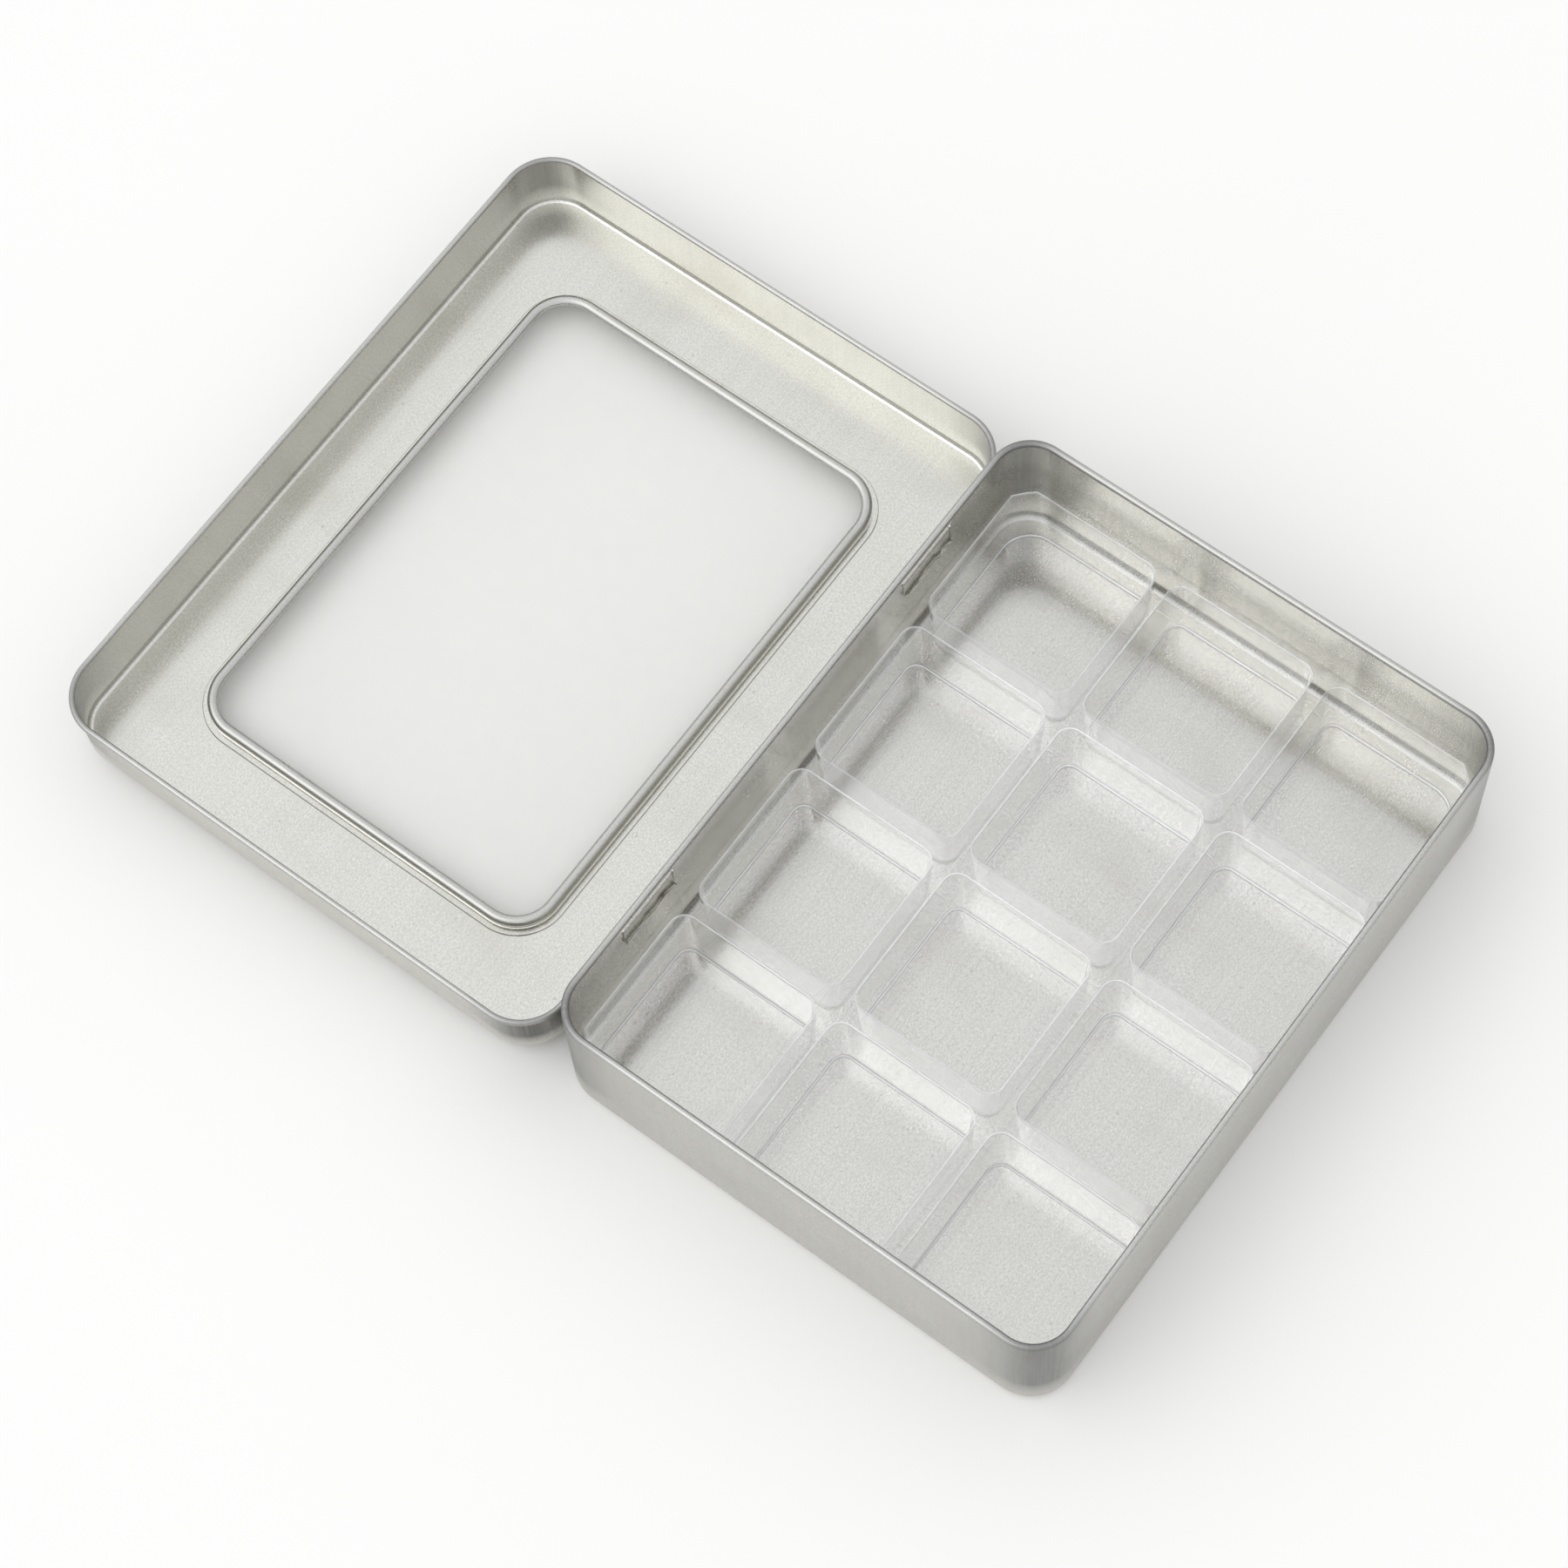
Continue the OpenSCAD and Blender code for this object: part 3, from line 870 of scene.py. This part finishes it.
def tin_material(name, light, dark):
    """Tinplate: rolling grain along the sheet, soft smudges, specks, draw marks at the corners, and
    painted shade that darkens the corners, the rims and the base's outside.
    """
    material = bpy.data.materials.new(name)
    tree = Tree(material)
    plan = tree.uv_map("plan")
    wear = tree.attribute("wear")
    drawn = tree.attribute("drawn")
    scratches = tree.noise(plan, *SCRATCHES)
    grain = tree.noise(plan, *GRAIN)
    marks = tree.noise(tree.uv_map("unrolled"), *DRAW_MARKS)

    # Colour: the grain first, mostly its fine part, with faint tarnish and a few dark specks over it
    streaks = tree.times(tree.noise(plan, *STREAKS), STREAK_SHARE)
    tone = tree.plus(tree.plus(streaks, scratches), grain)
    colour = tree.mix_colour(tree.spread(tone, GRAIN_RANGE, WHOLE), dark, light)
    tarnish = tree.spread(tree.noise(plan, *STAINS), STAIN_RANGE, STAIN_TINT)
    colour = tree.mix_colour(tarnish, colour, TARNISH_COLOUR)
    specks = tree.spread(tree.noise(plan, *SPECKS), SPECK_RANGE, SPECK_TINT)
    colour = tree.mix_colour(specks, colour, SPECK_COLOUR)

    # Then painted shade: streaky darkening at the draw marks, strongest in the middle of a corner, and the
    # darker tint painted on the worn rims and the base's outside
    streaky_shade = tree.spread(marks, MIDDLE, DRAWN_SHADE_RANGE)
    painted_corner_shade = tree.times(tree.maths("POWER", drawn, DRAWN_SHADE_POWER), streaky_shade)
    colour = tree.mix_colour(painted_corner_shade, colour, DRAWN_SHADE_COLOUR)
    colour = tree.mix_colour(tree.times(wear, WORN_SHADE_TINT), colour, WORN_SHADE_COLOUR)

    # Roughness: smudges and fine scratches, and duller at the draw marks and where the tin is worn
    roughness = tree.spread(tree.noise(plan, *SMUDGES), MIDDLE, SMUDGE_ROUGHNESS)
    scratched = tree.spread(tree.plus(scratches, grain), SCRATCH_RANGE, SCRATCH_ROUGHNESS)
    roughness = tree.plus(roughness, scratched)
    roughness = tree.plus(roughness, tree.times(drawn, DRAWN_ROUGHNESS))
    roughness = tree.plus(roughness, tree.times(wear, WORN_ROUGHNESS))

    # Relief: broad waves of the sheet, draw marks at the corners, then the fine skin
    pebbles = tree.times(tree.noise(plan, *PEBBLES), SKIN_PEBBLES)
    skin = tree.plus(pebbles, tree.times(scratches, SKIN_SCRATCHES))
    normal = tree.bump(tree.noise(plan, *WAVES), WAVE_BUMP)
    normal = tree.bump(tree.times(marks, drawn), DRAWN_BUMP, normal)
    normal = tree.bump(skin, SKIN_BUMP, normal)

    tree.output(tree.add("ShaderNodeBsdfPrincipled", {
        "Base Color": colour,
        "Metallic": 1.0,
        "Roughness": roughness,
        "Normal": normal,
    }))
    return material


# The insert's noises: waves of the sheet, rubbed patches, clouds of haze, and strain of its folds
INSERT_WAVES = (90, 2)
RUBS = (900, 3)
CLOUDS = (45, 2)
STRAIN = (160, 1)

# How white, rough and glossy they make it. A slant is 0 seen square on and 1 seen edge-on.
SLANT_BLEND = 0.5
HAZY_SLANT = (0.45, 0.85)
HAZE_SHARE = (0.004, 0.05)
HAZE_PATCHES = (0.4, 1.6)
EDGE_ON_SLANT = (0.9, 0.985)
STRAIN_RANGE = (0.35, 0.65)
# White of the folds, from strain and from a painted highlight
FOLD_WHITENESS_AND_HIGHLIGHT = (0.24, 0.36)
FOLD_GLINT = (0.12, 0.24)
FOLD_ROUGHNESS = 0.3
RUB_RANGE = (0.4, 0.8)
RUB_ROUGHNESS = (0.05, 0.15)
INSERT_BUMP = (0.3, 0.1 * MM)
INSERT_IOR = 1.5
INSERT_GLOSS = 1.8


def formed_plastic():
    """Thin clear plastic: glossy at a slant, white along its folds from strain and a painted highlight,
    and darker seen edge-on.
    """
    material = bpy.data.materials.new("clear_formed_plastic")
    tree = Tree(material)
    # The folds: strained plastic, white with a painted highlight
    fold = tree.attribute("wear")
    strain = tree.even_noise(*STRAIN)
    slant = tree.add("ShaderNodeLayerWeight", {"Blend": SLANT_BLEND}).outputs["Facing"]

    # What passes straight through, which is less where the sheet is seen edge-on
    edge_on = tree.spread(slant, EDGE_ON_SLANT, WHOLE)
    clear_colour = tree.mix_colour(edge_on, INSERT_CLEAR, INSERT_EDGE_ON)
    clear = tree.add("ShaderNodeBsdfTransparent", {"Color": clear_colour})

    # Whiteness: patchy haze that grows with the slant, and the strained plastic of the folds, which is
    # also a painted highlight
    patches = tree.spread(tree.even_noise(*CLOUDS), MIDDLE, HAZE_PATCHES)
    haze = tree.times(tree.spread(slant, HAZY_SLANT, HAZE_SHARE), patches)
    whitened_highlight = tree.times(fold, tree.spread(strain, STRAIN_RANGE, FOLD_WHITENESS_AND_HIGHLIGHT))
    white = tree.add("ShaderNodeBsdfDiffuse", {"Color": INSERT_WHITENED_HIGHLIGHT})
    body = tree.mix_shader(tree.plus(haze, whitened_highlight), clear, white)

    # Gloss on the outer side only: a strong Fresnel reflection, and a glint along the folds
    normal = tree.bump(tree.even_noise(*INSERT_WAVES), INSERT_BUMP)
    fresnel = tree.add("ShaderNodeFresnel", {"IOR": INSERT_IOR, "Normal": normal}).outputs[0]
    glint = tree.times(fold, tree.spread(strain, MIDDLE, FOLD_GLINT))
    shine = tree.times(tree.plus(tree.times(fresnel, INSERT_GLOSS), glint), tree.front())
    rubbed = tree.spread(tree.even_noise(*RUBS), RUB_RANGE, RUB_ROUGHNESS)
    rough = tree.plus(rubbed, tree.times(fold, FOLD_ROUGHNESS))
    gloss_inputs = {"Color": GLOSS_COLOUR, "Roughness": rough, "Normal": normal}
    gloss = tree.add("ShaderNodeBsdfGlossy", gloss_inputs)
    tree.output(tree.mix_shader(shine, body, gloss))
    return material


# The window sheet's noises, and how much haze, dust and roughness they give it
WINDOW_HAZE = (60, 4)
WINDOW_DUST = (1400, 1)
HAZE_RANGE = (0.4, 0.7)
HAZE_TINT = (0.03, 0.06)
DUST_RANGE = (0.78, 0.84)
DUST_TINT = (0, 0.1)
WINDOW_ROUGHNESS = (0.03, 0.1)
WINDOW_IOR = 1.6


def window_material():
    """Thin clear sheet: see-through, with a Fresnel gloss, a trace of haze and a little dust."""
    material = bpy.data.materials.new("clear_window_sheet")
    tree = Tree(material)
    haze = tree.even_noise(*WINDOW_HAZE)
    dust = tree.even_noise(*WINDOW_DUST)
    cloud = tree.plus(tree.spread(haze, HAZE_RANGE, HAZE_TINT), tree.spread(dust, DUST_RANGE, DUST_TINT))
    clear = tree.add("ShaderNodeBsdfTransparent", {"Color": WINDOW_CLEAR})
    milk = tree.add("ShaderNodeBsdfDiffuse", {"Color": WINDOW_MILK})
    body = tree.mix_shader(cloud, clear, milk)
    rough = tree.spread(haze, MIDDLE, WINDOW_ROUGHNESS)
    gloss = tree.add("ShaderNodeBsdfGlossy", {"Color": GLOSS_COLOUR, "Roughness": rough})
    fresnel = tree.add("ShaderNodeFresnel", {"IOR": WINDOW_IOR}).outputs[0]
    shine = tree.times(fresnel, tree.front())
    tree.output(tree.mix_shader(shine, body, gloss))
    return material


FLOOR_UNEVENNESS = (3, 2)
FLOOR_ROUGHNESS = 0.9


def floor_material():
    """Pale matt studio floor with a faint unevenness."""
    material = bpy.data.materials.new("studio_floor")
    tree = Tree(material)
    tone = tree.spread(tree.even_noise(*FLOOR_UNEVENNESS), MIDDLE, WHOLE)
    colour = tree.mix_colour(tone, FLOOR_LOW, FLOOR_HIGH)
    inputs = {"Base Color": colour, "Roughness": FLOOR_ROUGHNESS}
    tree.output(tree.add("ShaderNodeBsdfPrincipled", inputs))
    return material


# ---------------------------------------------------------------- studio


def camera():
    """The camera at the photograph's viewing angle."""
    direction = Vector((
        math.sin(CAMERA_AZIMUTH) * math.cos(CAMERA_ELEVATION),
        -math.cos(CAMERA_AZIMUTH) * math.cos(CAMERA_ELEVATION),
        math.sin(CAMERA_ELEVATION),
    ))
    level = Vector((math.cos(CAMERA_AZIMUTH), math.sin(CAMERA_AZIMUTH), 0))
    right = Matrix.Rotation(CAMERA_ROLL, 3, direction) @ level
    up = direction.cross(right)
    data = bpy.data.cameras.new("camera")
    data.lens = CAMERA_LENS
    data.sensor_width = CAMERA_SENSOR
    made = linked_object("camera", data)
    turned = Matrix((right, up, direction)).transposed().to_4x4()
    made.matrix_world = Matrix.Translation(CAMERA_TARGET + direction * CAMERA_DISTANCE) @ turned
    bpy.context.scene.camera = made


def studio_floor():
    """The plain floor that the object stands on."""
    bm = bmesh.new()
    segments = {"x_segments": FLOOR_SEGMENTS, "y_segments": FLOOR_SEGMENTS}
    bmesh.ops.create_grid(bm, size=FLOOR_HALF_WIDTH, **segments)
    mesh = bpy.data.meshes.new("studio_floor")
    bm.to_mesh(mesh)
    bm.free()
    floor = linked_object("studio_floor", mesh)
    floor.location.z = -FLOOR_DROP
    floor.data.materials.append(floor_material())


def studio_light():
    """A light tent all round, brighter to one side and overhead, with a soft lamp patch behind it."""
    world = bpy.data.worlds.new("light_tent")
    bpy.context.scene.world = world
    tree = Tree(world)
    direction = tree.add("ShaderNodeTexCoord").outputs["Generated"]
    side = tree.add("ShaderNodeVectorMath", {0: direction, 1: TENT_SIDE}, operation="DOT_PRODUCT")
    patch = tree.add("ShaderNodeVectorMath", {0: direction, 1: PATCH_DIRECTION}, operation="DOT_PRODUCT")
    glow = tree.maths("EXPONENT", tree.times(side.outputs["Value"], TENT_CONTRAST))
    height = tree.add("ShaderNodeSeparateXYZ", {0: direction}).outputs["Z"]
    glow = tree.times(glow, tree.spread(height, (0, HORIZON_TOP), (HORIZON_SHARE, 1)))
    glow = tree.times(glow, TENT_STRENGTH)
    lamp = tree.spread(patch.outputs["Value"], (PATCH_EDGE, PATCH_CORE), (0, PATCH_STRENGTH))
    inputs = {"Color": TENT_COLOUR, "Strength": tree.plus(glow, lamp)}
    background = tree.add("ShaderNodeBackground", inputs)
    tree.add("ShaderNodeOutputWorld", {"Surface": background.outputs[0]})


def true_colours_and_bounces():
    """Plain view colours, and light bounces enough for the many layers of clear plastic and tin."""
    scene = bpy.context.scene
    scene.view_settings.view_transform = "Standard"
    scene.cycles.max_bounces = MAX_BOUNCES
    scene.cycles.glossy_bounces = GLOSSY_BOUNCES
    scene.cycles.transparent_max_bounces = CLEAR_BOUNCES


# ---------------------------------------------------------------- the object


def dress(piece, material, body, node):
    """Gives a piece its material and its body, and hides the CAD node that it stands for."""
    piece.data.materials.clear()
    piece.data.materials.append(material)
    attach(piece, body)
    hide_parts(node)


def build():
    """Makes every piece. The window sheet is the CAD's own, with a better material."""
    tin = tin_material("tinplate_satin", TINPLATE_LIGHT, TINPLATE_DARK)
    strap_tin = tin_material("strap_steel", STRAP_LIGHT, STRAP_DARK)
    clear = formed_plastic()
    dress(base_tin(), tin, "base", "base_tin")
    dress(lid_tin(), tin, "lid", "lid_tin")
    dress(window_frame(), tin, "lid", "window_ring")
    for side in ("left", "right"):
        strap = hinge_strap("hinge_strap_" + side, "hinge_strap_formed_" + side)
        dress(strap, strap_tin, "base", "hinge_strap_" + side)
    dress(insert_tray(), clear, "tray", "insert_tray")
    sheet = frame["nodes"]["window_sheet"]
    sheet.data.materials.clear()
    sheet.data.materials.append(window_material())


camera()
studio_floor()
studio_light()
true_colours_and_bounces()
build()
